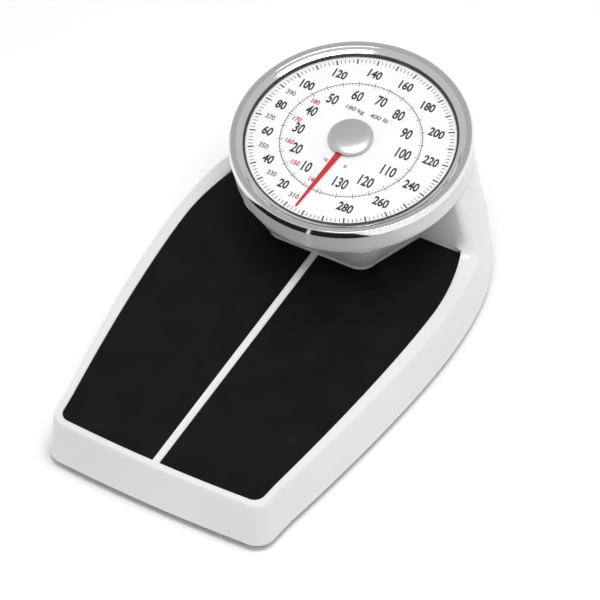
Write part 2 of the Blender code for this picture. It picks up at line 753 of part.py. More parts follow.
def pull_rod():
    """Wire from the nose plate up to the crank's input arm, with a flat nut under the plate."""
    top = crank_input_height() - 2.9
    nut_top = NOSE_PLATE_TOP - 2.0 - GAP
    nut_low = nut_top - 3.0
    profile = [(0.0, nut_low), (3.2, nut_low), (3.2, nut_top), (1.2, nut_top), (1.2, top), (0.0, top)]
    shape = moved(turned(profile, 12), (-CRANK_IN, ROD_Y, 0.0))
    rod = mesh_object("pull_rod", *shape, spring_steel())
    eye = circle(3.4, 16, (-CRANK_IN, crank_input_height()))
    ring = mesh_object("eye", *extrusion(eye, ROD_Y - 1.1, ROD_Y + 1.1, "y"), spring_steel())
    cut = circle(2.4, 16, (-CRANK_IN, crank_input_height()))
    drill = extrusion(cut, CRANK_IN_Y - 9.0, CRANK_IN_Y + 9.0, "y")
    combine(ring, mesh_object("drill", *drill, spring_steel()), "DIFFERENCE")
    combine(rod, ring, "UNION")


def bell_crank():
    """Spindle with an input arm at the rear and an output arm at the front, which ends in a fork."""
    pivot = (0.0, (CRANK_IN_Y + CRANK_OUT_Y) / 2, CRANK_Z)
    spindle = extrusion(circle(2.0, 12, (0.0, CRANK_Z)), CRANK_OUT_Y - 1.0, CRANK_IN_Y + 1.0, "y")
    crank = mesh_object("bell_crank", *spindle, zinc_steel(), pivot)

    def arm(name, length, lean, y, thick):
        along = Vector((math.sin(lean), math.cos(lean)))
        across = Vector((along.y, -along.x))
        base = Vector((0.0, CRANK_Z))
        corners = (-across * 4.5 - along * 4.5, across * 4.5 - along * 4.5, across * 3.2 + along * length,
                   -across * 3.2 + along * length)
        outline = [tuple(base + corner) for corner in corners]
        return mesh_object(name, *extrusion(outline, y - thick / 2, y + thick / 2, "y"), zinc_steel())

    out_arm = arm("out_arm", CRANK_OUT + 0.4, CRANK_LEAN, CRANK_OUT_Y, 1.8)
    along = Vector((math.sin(CRANK_LEAN), math.cos(CRANK_LEAN)))
    across = Vector((along.y, -along.x)) * 1.5
    base = Vector((0.0, CRANK_Z))
    ends = (along * (CRANK_OUT - 4.0), along * (CRANK_OUT + 8.0))
    slot = [tuple(base + ends[0] - across), tuple(base + ends[0] + across), tuple(base + ends[1] + across),
            tuple(base + ends[1] - across)]
    tool = mesh_object("slot", *extrusion(slot, CRANK_OUT_Y - 5.0, CRANK_OUT_Y + 5.0, "y"), zinc_steel())
    combine(out_arm, tool, "DIFFERENCE")
    combine(crank, out_arm, "UNION")
    in_arm = arm("in_arm", CRANK_IN + 3.5, CRANK_LEAN - math.pi / 2, CRANK_IN_Y, 1.8)
    combine(crank, in_arm, "UNION")
    stub = circle(1.5, 10, (-CRANK_IN * math.cos(CRANK_LEAN), crank_input_height()))
    pin = extrusion(stub, CRANK_IN_Y - 4.4, CRANK_IN_Y + 0.4, "y")
    combine(crank, mesh_object("stub", *pin, zinc_steel()), "UNION")


def rack():
    """Toothed bar that turns the pinion; a stub at its front rides in the crank's fork."""
    pitch = 2 * math.pi * PINION_RADIUS / PINION_TEETH
    back = -PINION_RADIUS - 3.6
    root = -PINION_RADIUS - 0.95
    tip = -PINION_RADIUS + 0.25
    low_x = -3.0
    teeth = 21
    high_x = low_x + teeth * pitch
    first = round(low_x / pitch) + 1
    outline = [(low_x, back), (high_x, back), (high_x, root)]
    for tooth in reversed(range(first, first + teeth)):
        centre = tooth * pitch
        if centre + pitch / 2 > high_x or centre - pitch / 2 < low_x:
            continue
        outline += [(centre + 0.38 * pitch, root), (centre + 0.14 * pitch, tip), (centre - 0.14 * pitch, tip),
                    (centre - 0.38 * pitch, root)]
    outline.append((low_x, root))
    bar = mesh_object("rack", *on_dial(extrusion(outline, RACK_LEVEL - 1.1, RACK_LEVEL + 1.1, "z")), brass())
    x = (RACK_PIN_HEIGHT - CRANK_Z) * math.tan(CRANK_LEAN)
    stub = on_dial(extrusion(circle(0.9, 10, (x, RACK_LEVEL)), back - 5.4, back + 1.0, "y"))
    combine(bar, mesh_object("stub", *stub, brass()), "UNION")


def pinion_shaft():
    """Shaft along the dial's axis with the pinion near its foot."""
    points = []
    for tooth in range(PINION_TEETH):
        centre = 2 * math.pi * (tooth + 0.5) / PINION_TEETH - math.pi / 2
        step = 2 * math.pi / PINION_TEETH
        for offset, radius in ((-0.40, PINION_RADIUS - 0.75), (-0.13, PINION_RADIUS + 0.30),
                               (0.13, PINION_RADIUS + 0.30), (0.40, PINION_RADIUS - 0.75)):
            turn = centre + offset * step
            points.append((radius * math.cos(turn), radius * math.sin(turn)))
    teeth = on_dial(extrusion(points, RACK_LEVEL - 1.3, RACK_LEVEL + 1.3, "z"))
    gear = mesh_object("pinion_shaft", *teeth, brass(), tuple(DIAL_CENTRE))
    rod = on_dial(moved(turned_rod(1.2, FACE_LEVEL + 31.5, 14), (0.0, 0.0, -29.0)))
    combine(gear, mesh_object("rod", *rod, brass()), "UNION")


def movement():
    """Plate, posts and guide that hold the pinion and the rack under the column's head."""
    outline = [(-20, -6.8), (20, -6.8), (20, 17), (-20, 17)]
    plate = mesh_object("movement_plate", *on_dial(extrusion(outline, -28.8, -27.2, "z")), brass())
    drill = on_dial(moved(turned_rod(1.5, 10.0, 14), (0.0, 0.0, -32.0)))
    combine(plate, mesh_object("drill", *drill, brass()), "DIFFERENCE")
    for word, side in (("right", 1.0), ("left", -1.0)):
        post = on_dial(moved(turned_rod(2.4, 9.3, 12), (14.0 * side, 11.5, -26.9)))
        mesh_object("movement_post_" + word, *post, brass(), smooth=40)
    guide = on_dial(extrusion(rectangle(-6.0, 6.0, -6.4, -3.4), -26.9, RACK_LEVEL - 1.1 - GAP, "z"))
    mesh_object("rack_guide", *guide, grey_plastic())


def main_spring():
    """Extension spring: a tube of wire wound between the stud and the hanger."""
    steps = SPRING_TURNS * 10
    side_count = 5
    pitch = (SPRING_HEAD - SPRING_FOOT - 2 * SPRING_WIRE) / steps
    rings = []
    for step in range(steps + 1):
        turn = 2 * math.pi * step / 10
        out = Vector((math.cos(turn), math.sin(turn), 0.0))
        centre = Vector((*SPRING_AXIS, SPRING_FOOT + SPRING_WIRE + pitch * step)) + out * SPRING_RADIUS
        ring = []
        for corner in range(side_count):
            spin = 2 * math.pi * corner / side_count
            rise = Vector((0.0, 0.0, SPRING_WIRE * math.sin(spin)))
            ring.append(tuple(centre + out * SPRING_WIRE * math.cos(spin) + rise))
        rings.append(ring)
    mesh_object("main_spring", *loft(rings), spring_steel(), smooth=80)


def spring_hanger():
    """Threaded rod with a plug that screws into the spring's head."""
    top = WHEEL_Z + WHEEL_THICK + 9.0
    profile = [(0.0, SPRING_HEAD - 8.0), (SPRING_PLUG, SPRING_HEAD - 8.0), (SPRING_PLUG, SPRING_HEAD - 2.0),
               (2.5, SPRING_HEAD - 1.0), (2.5, top), (0.0, top)]
    mesh_object("spring_hanger", *moved(turned(profile, 16), (*SPRING_AXIS, 0.0)), zinc_steel(),
                (*SPRING_AXIS, WHEEL_Z), 40)


def zero_wheel():
    """Thumbwheel whose rim shows in the slot behind the tower; it carries the hanger's thread."""
    ridges = 36
    points = []
    for ridge in range(ridges):
        for offset, radius in ((0.0, WHEEL_RADIUS - 0.9), (0.5, WHEEL_RADIUS)):
            turn = 2 * math.pi * (ridge + offset) / ridges
            across = SPRING_AXIS[0] + radius * math.cos(turn)
            points.append((across, SPRING_AXIS[1] + radius * math.sin(turn)))
    pivot = (*SPRING_AXIS, WHEEL_Z)
    disc = extrusion(points, WHEEL_Z, WHEEL_Z + WHEEL_THICK, "z")
    wheel = mesh_object("zero_wheel", *disc, grey_plastic(), pivot)
    hole = moved(turned_rod(2.8, 20.0, 16), (*SPRING_AXIS, WHEEL_Z - 5.0))
    combine(wheel, mesh_object("drill", *hole, grey_plastic()), "DIFFERENCE")


# ---------------------------------------------------------------- dial head
def dial_case():
    top = FACE_LEVEL - 1.1
    floor = CASE_FLOOR + CASE_SHEET
    inside = CASE_RADIUS - CASE_SHEET
    rim = top - 1.2
    profile = [(4.4, CASE_FLOOR), (CASE_RADIUS, CASE_FLOOR), (CASE_RADIUS, rim), (RIM_RADIUS, rim),
               (RIM_RADIUS, top), (inside, top), (inside, floor), (4.4, floor)]
    mesh_object("dial_case", *on_dial(turned(profile, 64)), zinc_steel(), smooth=35)


def shaft_bush():
    floor = CASE_FLOOR + CASE_SHEET + GAP
    profile = [(1.5, -19.5), (4.0, -19.5), (4.0, floor), (7.0, floor), (7.0, floor + 2.0), (1.5, floor + 2.0)]
    mesh_object("shaft_bush", *on_dial(turned(profile, 16)), brass(), smooth=40)


def dial_spacers():
    floor = CASE_FLOOR + CASE_SHEET + GAP
    for number in range(3):
        turn = math.radians(90 + 120 * number)
        place = (70.0 * math.cos(turn), 70.0 * math.sin(turn), floor)
        shape = moved(turned_rod(3.0, FACE_LEVEL - 1.3 - floor, 12), place)
        mesh_object("dial_spacer_" + str(number + 1), *on_dial(shape), zinc_steel(), smooth=40)


def dial_face():
    disc = tube(FACE_RADIUS, 3.0, FACE_LEVEL - 1.0, FACE_LEVEL, 64)
    mesh_object("dial_face", *on_dial(disc), face_white(), smooth=35)


def lens_gasket():
    ring = tube(RIM_RADIUS, 92.4, FACE_LEVEL - 0.8, FACE_LEVEL, 64)
    mesh_object("lens_gasket", *on_dial(ring), foot_rubber(), smooth=35)


def lens():
    """Domed window with a flat rim that the bezel holds down."""
    edge = 87.0
    rise = 8.0
    low = FACE_LEVEL + GAP
    thick = 1.1

    def dome(radius, lift):
        return low + lift + rise * (1.0 - (radius / edge) ** 4)

    radii = (80.0, 62.0, 38.0)
    profile = [(0.0, dome(0.0, 0.0))]
    profile += [(radius, dome(radius, 0.0)) for radius in reversed(radii)]
    profile += [(edge, low), (RIM_RADIUS, low), (RIM_RADIUS, low + thick), (edge, low + thick)]
    profile += [(radius, dome(radius, thick)) for radius in radii]
    profile.append((0.0, dome(0.0, thick)))
    mesh_object("lens", *on_dial(turned(profile, 48)), clear_lens(), smooth=35)


def bezel():
    """Chrome ring that lies above the collar and steps down onto the window's rim."""
    foot = COLLAR_TOP + 0.6
    step = FACE_LEVEL + 1.7
    profile = [(BEZEL_RADIUS, foot), (BEZEL_RADIUS, 7.0), (100.4, 8.9), (96.5, 10.2), (92.5, 8.4),
               (VISIBLE_RADIUS, 5.4), (VISIBLE_RADIUS, step), (RIM_RADIUS, step), (RIM_RADIUS, foot)]
    mesh_object("bezel", *on_dial(turned(profile, 72)), chrome(), smooth=50)


def pointer():
    """Red needle that tapers to its tip and has a short round hub on the shaft."""
    hub = 5.0
    low = FACE_LEVEL + 0.6
    tip = 0.9
    root = 2.8
    outline = [(-root, 3.5), (-root, -14.0), (-tip, -POINTER_REACH), (tip, -POINTER_REACH), (root, -14.0),
               (root, 3.5)]
    blade = on_dial(extrusion(outline, low, low + 0.7, "z"), -POINTER_REST)
    needle = mesh_object("pointer", *blade, pointer_red(), tuple(DIAL_CENTRE))
    boss = on_dial(moved(turned_rod(hub, 1.6, 20), (0, 0, low)))
    combine(needle, mesh_object("boss", *boss, pointer_red()), "UNION")
    hole = on_dial(moved(turned_rod(1.5, 10.0, 14), (0, 0, FACE_LEVEL - 3.0)))
    combine(needle, mesh_object("drill", *hole, pointer_red()), "DIFFERENCE")


def hub_cap():
    low = FACE_LEVEL + 3.1
    profile = [(0.0, low), (HUB_CAP_RADIUS, low), (HUB_CAP_RADIUS, low + 0.8), (17.5, low + 2.0),
               (13.5, low + 3.2), (7.0, low + 4.0), (0.0, low + 4.2)]
    mesh_object("hub_cap", *on_dial(turned(profile, 32)), chrome(), tuple(DIAL_CENTRE), 50)


def build():
    clear_scene()
    platform_cover()
    foot_mats()
    platform_plate()
    levers()
    brackets_and_posts()
    base_tray()
    feet()
    column()
    spring_bracket()
    crank_bracket()
    nose_plate()
    pull_rod()
    bell_crank()
    rack()
    pinion_shaft()
    movement()
    main_spring()
    spring_hanger()
    zero_wheel()
    dial_case()
    shaft_bush()
    dial_spacers()
    dial_face()
    lens_gasket()
    lens()
    bezel()
    pointer()
    hub_cap()


build()
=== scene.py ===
"""Looks of the mechanical dial platform scale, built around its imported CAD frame."""
import json
import math

import bmesh
import bpy
from mathutils import Matrix, Vector


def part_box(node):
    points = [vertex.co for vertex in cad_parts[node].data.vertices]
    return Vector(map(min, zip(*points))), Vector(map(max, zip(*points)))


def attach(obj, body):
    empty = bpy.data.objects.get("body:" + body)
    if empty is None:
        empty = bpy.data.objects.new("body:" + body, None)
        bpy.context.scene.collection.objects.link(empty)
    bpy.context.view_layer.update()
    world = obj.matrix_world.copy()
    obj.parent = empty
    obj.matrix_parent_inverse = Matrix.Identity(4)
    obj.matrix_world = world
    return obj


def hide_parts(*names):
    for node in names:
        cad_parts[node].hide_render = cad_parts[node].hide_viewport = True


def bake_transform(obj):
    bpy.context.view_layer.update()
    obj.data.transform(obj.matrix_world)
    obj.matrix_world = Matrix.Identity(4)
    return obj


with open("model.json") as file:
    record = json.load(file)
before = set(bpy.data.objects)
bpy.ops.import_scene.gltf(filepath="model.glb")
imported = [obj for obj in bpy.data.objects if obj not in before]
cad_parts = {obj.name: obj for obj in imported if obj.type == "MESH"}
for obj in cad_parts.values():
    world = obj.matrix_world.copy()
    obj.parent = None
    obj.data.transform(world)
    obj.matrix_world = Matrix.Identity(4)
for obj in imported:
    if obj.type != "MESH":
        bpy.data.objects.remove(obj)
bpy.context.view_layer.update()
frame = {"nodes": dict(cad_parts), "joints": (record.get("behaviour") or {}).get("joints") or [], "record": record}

MM = 0.001
NODES = frame["nodes"]


def joint(name):
    return next(item for item in frame["joints"] if item["name"] == name)


# ---------------------------------------------------------------- sizes in millimetres
def box_mm(node):
    low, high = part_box(node)
    return low / MM, high / MM


COVER_LOW, COVER_HIGH = box_mm("platform_cover")
MAT_LOW, MAT_HIGH = box_mm("mat_right")
SPRING_LOW, SPRING_HIGH = box_mm("main_spring")
WHEEL_LOW, WHEEL_HIGH = box_mm("zero_wheel")
DIAL_CENTRE = Vector(joint("pointer_turn")["pos_m"]) / MM
DIAL_AXIS = -Vector(joint("pointer_turn")["axis"])
DIAL_TILT = math.atan2(-DIAL_AXIS.y, DIAL_AXIS.z)

TOP = 50.0
SKIRT_FOOT = COVER_LOW.z
WALL = 3.2
FRONT_Y = COVER_LOW.y
REAR_Y = COVER_HIGH.y
WAIST_Y = 45.0
FOOT_HALF_WIDTH = COVER_HIGH.x
FRONT_HALF_WIDTH = 103.0
TOP_HALF_WIDTH = 128.0
MAT_HALF_WIDTH = MAT_HIGH.x
MAT_FRONT_HALF_WIDTH = 91.7
MAT_FRONT_Y = MAT_LOW.y
MAT_CROWN = 0.00035
MAT_CORNER_Y = -190.0
MAT_BACK_Y = MAT_HIGH.y
MAT_CLEARANCE = 0.4
RECESS = 1.6
RIB_HALF_WIDTH = 3.1
TOWER_WALL_Y = MAT_BACK_Y + 0.6
TOWER_CORNER = 9.0
CHIN_FRONT_Y = 55.0
CHIN_TOP_FRONT_Y = 32.0
CHIN_HALF_WIDTH = 50.0
CHIN_TOP_HALF_WIDTH = 70.0
CHIN_CORNER = 15.0
CHIN_TOP_CORNER = 32.0
CHIN_WALL_HALF_WIDTH = 68.0
CHIN_TOP_WALL_HALF_WIDTH = 82.0
TOWER_EASE = 0.85
OUTLINE_POWER = 2.6
WING_TOP_RADIUS = 101.5
WING_CENTRE_Y = 120.0
BEZEL_RADIUS = (box_mm("bezel")[1].x - box_mm("bezel")[0].x) / 2
COLLAR_RADIUS = BEZEL_RADIUS - 1.3
COLLAR_OPENING = 95.5
COLLAR_TOP = 5.4
COLLAR_FOOT = -19.0
FACE_RADIUS = 91.7
FACE_LEVEL = 3.0
RIM_RADIUS = 94.8
VISIBLE_RADIUS = 90.2
POINTER_REST = math.radians(6.0)
POINTER_REACH = 82.0
HUB_CAP_RADIUS = 19.0


def blend(start, end, amount):
    return start + (end - start) * amount


def smooth(amount):
    amount = min(1.0, max(0.0, amount))
    return amount * amount * (3.0 - 2.0 * amount)


# ---------------------------------------------------------------- materials
def new_material(name, colour, roughness, metallic=0.0):
    made = bpy.data.materials.new(name)
    made.use_nodes = True
    shader = made.node_tree.nodes["Principled BSDF"]
    shader.inputs["Base Color"].default_value = (*colour, 1.0)
    shader.inputs["Roughness"].default_value = roughness
    shader.inputs["Metallic"].default_value = metallic
    return made, shader


def add_node(material, kind, **values):
    node = material.node_tree.nodes.new(kind)
    for key, value in values.items():
        if key in node.inputs:
            node.inputs[key].default_value = value
        else:
            setattr(node, key, value)
    return node


def noise_of(material, scale, detail=3.0, stretch=(1.0, 1.0, 1.0), coordinates="Object"):
    place = add_node(material, "ShaderNodeTexCoord")
    mapping = add_node(material, "ShaderNodeMapping", Scale=stretch)
    noise = add_node(material, "ShaderNodeTexNoise", Scale=scale, Detail=detail)
    links = material.node_tree.links
    links.new(place.outputs[coordinates], mapping.inputs["Vector"])
    links.new(mapping.outputs["Vector"], noise.inputs["Vector"])
    return noise


def vary_colour(material, shader, noise, dark, light, low=0.35, high=0.65):
    ramp = add_node(material, "ShaderNodeValToRGB")
    ramp.color_ramp.elements[0].position = low
    ramp.color_ramp.elements[1].position = high
    ramp.color_ramp.elements[0].color = (*dark, 1.0)
    ramp.color_ramp.elements[1].color = (*light, 1.0)
    material.node_tree.links.new(noise.outputs["Fac"], ramp.inputs["Fac"])
    material.node_tree.links.new(ramp.outputs["Color"], shader.inputs["Base Color"])


def vary_roughness(material, shader, noise, low, high):
    span = add_node(material, "ShaderNodeMapRange")
    span.inputs["To Min"].default_value = low
    span.inputs["To Max"].default_value = high
    material.node_tree.links.new(noise.outputs["Fac"], span.inputs["Value"])
    material.node_tree.links.new(span.outputs["Result"], shader.inputs["Roughness"])


def bump(material, shader, noise, strength, distance):
    made = add_node(material, "ShaderNodeBump", Strength=strength, Distance=distance)
    material.node_tree.links.new(noise.outputs["Fac"], made.inputs["Height"])
    material.node_tree.links.new(made.outputs["Normal"], shader.inputs["Normal"])


def white_shell():
    """Glossy white moulding with a faint cloudiness and orange-peel skin."""
    made, shader = new_material("white_shell", (0.72, 0.725, 0.73), 0.24)
    shader.inputs["Coat Weight"].default_value = 0.25
    shader.inputs["Coat Roughness"].default_value = 0.08
    cloud = noise_of(made, 9.0, 2.0)
    vary_colour(made, shader, cloud, (0.700, 0.706, 0.712), (0.735, 0.740, 0.743))
    vary_roughness(made, shader, noise_of(made, 60.0, 4.0), 0.20, 0.30)
    bump(made, shader, noise_of(made, 520.0, 2.0), 0.05, 0.0002)
    return made


def mat_rubber():
    """Black rubber with a fine pebbled grain."""
    made, shader = new_material("mat_rubber", (0.0025, 0.0018, 0.002), 0.45)
    shader.inputs["Specular IOR Level"].default_value = 0.13
    vary_colour(made, shader, noise_of(made, 34.0, 5.0), (0.0018, 0.0012, 0.0014), (0.0042, 0.0030, 0.0034))
    vary_roughness(made, shader, noise_of(made, 90.0, 3.0), 0.40, 0.58)
    cells = add_node(made, "ShaderNodeTexVoronoi", Scale=900.0)
    place = add_node(made, "ShaderNodeTexCoord")
    made.node_tree.links.new(place.outputs["Object"], cells.inputs["Vector"])
    lift = add_node(made, "ShaderNodeBump", Strength=0.35, Distance=0.00025)
    made.node_tree.links.new(cells.outputs["Distance"], lift.inputs["Height"])
    made.node_tree.links.new(lift.outputs["Normal"], shader.inputs["Normal"])
    return made


def chrome():
    made, shader = new_material("chrome", (0.80, 0.81, 0.82), 0.07, 1.0)
    vary_roughness(made, shader, noise_of(made, 140.0, 3.0), 0.05, 0.11)
    return made


def satin_chrome():
    made, shader = new_material("satin_chrome", (0.74, 0.74, 0.745), 0.34, 1.0)
    vary_roughness(made, shader, noise_of(made, 200.0, 3.0), 0.30, 0.40)
    return made


def zinc_steel():
    """Bright zinc plate with soft spangle and fine drawing lines."""
    made, shader = new_material("zinc_steel", (0.56, 0.57, 0.58), 0.36, 1.0)
    cells = add_node(made, "ShaderNodeTexVoronoi", Scale=70.0)
    place = add_node(made, "ShaderNodeTexCoord")
    made.node_tree.links.new(place.outputs["Object"], cells.inputs["Vector"])
    ramp = add_node(made, "ShaderNodeValToRGB")
    ramp.color_ramp.elements[0].color = (0.47, 0.48, 0.50, 1.0)
    ramp.color_ramp.elements[1].color = (0.62, 0.63, 0.64, 1.0)
    made.node_tree.links.new(cells.outputs["Color"], ramp.inputs["Fac"])
    made.node_tree.links.new(ramp.outputs["Color"], shader.inputs["Base Color"])
    vary_roughness(made, shader, noise_of(made, 45.0, 4.0), 0.28, 0.45)
    bump(made, shader, noise_of(made, 300.0, 2.0, (0.15, 1.0, 1.0)), 0.12, 0.0001)
    return made


def spring_steel():
    made, shader = new_material("spring_steel", (0.26, 0.27, 0.29), 0.3, 1.0)
    vary_colour(made, shader, noise_of(made, 120.0, 3.0), (0.20, 0.21, 0.23), (0.32, 0.33, 0.35))
    vary_roughness(made, shader, noise_of(made, 260.0, 3.0), 0.24, 0.40)
    return made


def brass():
    made, shader = new_material("brass", (0.70, 0.52, 0.22), 0.28, 1.0)
    vary_colour(made, shader, noise_of(made, 80.0, 3.0), (0.62, 0.44, 0.17), (0.76, 0.58, 0.27))
    vary_roughness(made, shader, noise_of(made, 240.0, 3.0), 0.20, 0.36)
    return made


def printed_white():
    made, shader = new_material("face_white", (0.88, 0.88, 0.885), 0.5)
    vary_colour(made, shader, noise_of(made, 30.0, 2.0), (0.865, 0.865, 0.875), (0.895, 0.895, 0.895))
    bump(made, shader, noise_of(made, 700.0, 2.0), 0.03, 0.0001)
    return made


def ink(name, colour, lighter):
    made, shader = new_material(name, colour, 0.5)
    vary_colour(made, shader, noise_of(made, 400.0, 2.0), colour, lighter)
    return made


def red_paint():
    made, shader = new_material("pointer_red", (0.70, 0.012, 0.03), 0.3)
    shader.inputs["Coat Weight"].default_value = 0.3
    vary_colour(made, shader, noise_of(made, 150.0, 2.0), (0.50, 0.002, 0.016), (0.57, 0.003, 0.021))
    return made


def clear_lens():
    made, shader = new_material("clear_lens", (0.30, 0.31, 0.32), 0.03)
    shader.inputs["Alpha"].default_value = 0.03
    shader.inputs["IOR"].default_value = 1.49
    vary_roughness(made, shader, noise_of(made, 50.0, 2.0), 0.02, 0.05)
    return made


def dark_rubber():
    made, shader = new_material("foot_rubber", (0.028, 0.028, 0.030), 0.7)
    vary_colour(made, shader, noise_of(made, 160.0, 4.0), (0.018, 0.018, 0.020), (0.040, 0.040, 0.042))
    vary_roughness(made, shader, noise_of(made, 90.0, 3.0), 0.58, 0.80)
    bump(made, shader, noise_of(made, 600.0, 3.0), 0.2, 0.0002)
    return made


def grey_plastic():
    made, shader = new_material("grey_plastic", (0.20, 0.21, 0.22), 0.42)
    vary_colour(made, shader, noise_of(made, 70.0, 3.0), (0.17, 0.18, 0.19), (0.23, 0.24, 0.25))
    vary_roughness(made, shader, noise_of(made, 180.0, 3.0), 0.36, 0.5)
    bump(made, shader, noise_of(made, 500.0, 2.0), 0.12, 0.0002)
    return made


LOOKS = {
    "white_shell": white_shell(),
    "mat_rubber": mat_rubber(),
    "chrome": chrome(),
    "zinc_steel": zinc_steel(),
    "spring_steel": spring_steel(),
    "brass": brass(),
    "face_white": printed_white(),
    "pointer_red": red_paint(),
    "clear_lens": clear_lens(),
    "foot_rubber": dark_rubber(),
    "grey_plastic": grey_plastic(),
}
SATIN_CHROME = satin_chrome()
INK_BLACK = ink("ink_black", (0.012, 0.012, 0.014), (0.018, 0.018, 0.021))
INK_GREY = ink("ink_grey", (0.12, 0.125, 0.13), (0.16, 0.165, 0.17))
INK_RED = ink("ink_red", (0.55, 0.015, 0.045), (0.60, 0.025, 0.055))
INK_BLUE = ink("ink_blue", (0.07, 0.075, 0.19), (0.10, 0.105, 0.23))


# ---------------------------------------------------------------- mesh helpers
def piece(name, points, faces, look, body, slot, angle=35.0, stands_for=()):
    """Write points (millimetres, world frame) as a piece that rides on a body."""
    mesh = bpy.data.meshes.new(name)
    mesh.from_pydata([Vector(point) * MM for point in points], [], faces)
    work = bmesh.new()
    work.from_mesh(mesh)
    bmesh.ops.recalc_face_normals(work, faces=work.faces)
    work.to_mesh(mesh)
    work.free()
    mesh.materials.append(look)
    mesh.shade_smooth()
    mesh.set_sharp_from_angle(angle=math.radians(angle))
    obj = bpy.data.objects.new(name, mesh)
    bpy.context.scene.collection.objects.link(obj)
    if body:
        finish_piece(obj, body, stands_for)
    return obj


def finish_piece(obj, body, stands_for=()):
    if body:
        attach(obj, body)
    if stands_for:
        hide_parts(*stands_for)


def apply_modifiers(obj):
    bpy.context.view_layer.update()
    graph = bpy.context.evaluated_depsgraph_get()
    result = bpy.data.meshes.new_from_object(obj.evaluated_get(graph))
    obj.modifiers.clear()
    obj.data = result


def cut(obj, tool):
    modifier = obj.modifiers.new("cut", "BOOLEAN")
    modifier.operation = "DIFFERENCE"
    modifier.solver = "EXACT"
    modifier.object = tool
    apply_modifiers(obj)
    bpy.data.objects.remove(tool, do_unlink=True)


def bevel(obj, width, segments=3, angle=40.0):
    modifier = obj.modifiers.new("soft_edges", "BEVEL")
    modifier.width = width * MM
    modifier.segments = segments
    modifier.limit_method = "ANGLE"
    modifier.angle_limit = math.radians(angle)
    modifier.harden_normals = False
    return modifier


def loft(rings, close_ends=True, ring_closed=False):
    count = len(rings[0])
    points = [point for ring in rings for point in ring]
    faces = []
    spans = len(rings) if ring_closed else len(rings) - 1
    for level in range(spans):
        low = level * count
        high = ((level + 1) % len(rings)) * count
        for step in range(count):
            after = (step + 1) % count
            faces.append((low + step, low + after, high + after, high + step))
    if close_ends and not ring_closed:
        faces.append(tuple(reversed(range(count))))
        faces.append(tuple(range((len(rings) - 1) * count, len(rings) * count)))
    return points, faces


def prism(outline, low, high):
    return loft([[(x, y, level) for x, y in outline] for level in (low, high)])


def circle(radius, count):
    steps = [2 * math.pi * step / count for step in range(count)]
    return [(radius * math.cos(turn), radius * math.sin(turn)) for turn in steps]


def turned(profile, count):
    """Revolve a closed profile of (radius, height) pairs; radius 0 is allowed at its two ends."""
    solid = profile[0][0] == 0.0 and profile[-1][0] == 0.0
    body = profile[1:-1] if solid else profile
    rings = [[(x, y, height) for x, y in circle(radius, count)] for radius, height in body]
    points, faces = loft(rings, close_ends=False, ring_closed=not solid)
    if solid:
        last = (len(rings) - 1) * count
        points += [(0.0, 0.0, profile[0][1]), (0.0, 0.0, profile[-1][1])]
        for step in range(count):
            after = (step + 1) % count
            faces.append((len(points) - 2, after, step))
            faces.append((len(points) - 1, last + step, last + after))
    return points, faces


def rounded(corners, radii, steps=5):
    """A closed profile with an arc at each corner that has a radius.

    The radius sets only the arc's centre. slerp gives unit vectors, so the arc itself is drawn 1 mm from it.
    """
    outline = []
    count = len(corners)
    for number, (corner, radius) in enumerate(zip(corners, radii)):
        here = Vector(corner)
        if radius <= 0.0:
            outline.append(tuple(here))
            continue
        before = (Vector(corners[number - 1]) - here).normalized()
        after = (Vector(corners[(number + 1) % count]) - here).normalized()
        half = before.angle(after) / 2
        centre = here + (before + after).normalized() * (radius / math.sin(half))
        start = here + before * (radius / math.tan(half)) - centre
        end = here + after * (radius / math.tan(half)) - centre
        for step in range(steps + 1):
            outline.append(tuple(centre + start.slerp(end, step / steps)))
    return outline


DIAL_PLACE = Matrix.Translation(DIAL_CENTRE) @ Matrix.Rotation(DIAL_TILT, 4, "X")


def on_dial(shape, turn=0.0):
    place = DIAL_PLACE @ Matrix.Rotation(turn, 4, "Z")
    points, faces = shape
    return [tuple(place @ Vector(point)) for point in points], faces


def dial_point(x, y, z):
    return tuple(DIAL_PLACE @ Vector((x, y, z)))


# ---------------------------------------------------------------- the cover
FRONT_SHARES = (0.0, 0.18, 0.36, 0.54, 0.72, 0.88)
ARC_SHARES = tuple(step / 8 for step in range(9))
SIDE_COUNT = 26
CORNER_COUNT = 10
REAR_COUNT = 26
WALL_COUNT = 16
CHIN_COUNT = SIDE_COUNT - WALL_COUNT
REAR_START = 4.0
RELAX_ROUNDS = 14


def side_half_width(y, front, waist):
    """Half width of the cover ahead of its waist."""
    back = max(0.0, (WAIST_Y - y) / (WAIST_Y - MAT_CORNER_Y))
    return waist - (waist - front) * back ** 1.5


def rear_half_width(y, waist, centre, end, power):
    reach = min(1.0, max(0.0, (y - centre) / (end - centre)))
    return waist * (1.0 - reach ** power) ** (1.0 / power)


def skirt_ring(height):
    """Half outline of the skirt: 0 is its foot, 1 the edge of the top."""
    half_front = blend(FRONT_HALF_WIDTH, MAT_FRONT_HALF_WIDTH + 4.6, height)
    half_waist = blend(FOOT_HALF_WIDTH, TOP_HALF_WIDTH, height)
    front = blend(FRONT_Y, MAT_FRONT_Y - 5.4, height)
    corner = blend(19.0, 13.5, height)
    turn_x = half_front - corner
    turn_y = front + corner
    points = [(turn_x * share, front + MAT_CROWN * (turn_x * share) ** 2) for share in FRONT_SHARES]
    for share in ARC_SHARES:
        turn = math.radians(-90 + 90 * share)
        lift = MAT_CROWN * turn_x ** 2 * (1 - share)
        points.append((turn_x + corner * math.cos(turn), turn_y + corner * math.sin(turn) + lift))
    for step in range(1, SIDE_COUNT + 1):
        share = step / SIDE_COUNT
        y = blend(turn_y, TOWER_WALL_Y - 8.0, share ** 0.82)
        width = side_half_width(y, half_front, half_waist)
        if y > WAIST_Y:
            width = rear_half_width(y, half_waist, WAIST_Y, REAR_Y, OUTLINE_POWER)
        points.append((width, y))
    return points


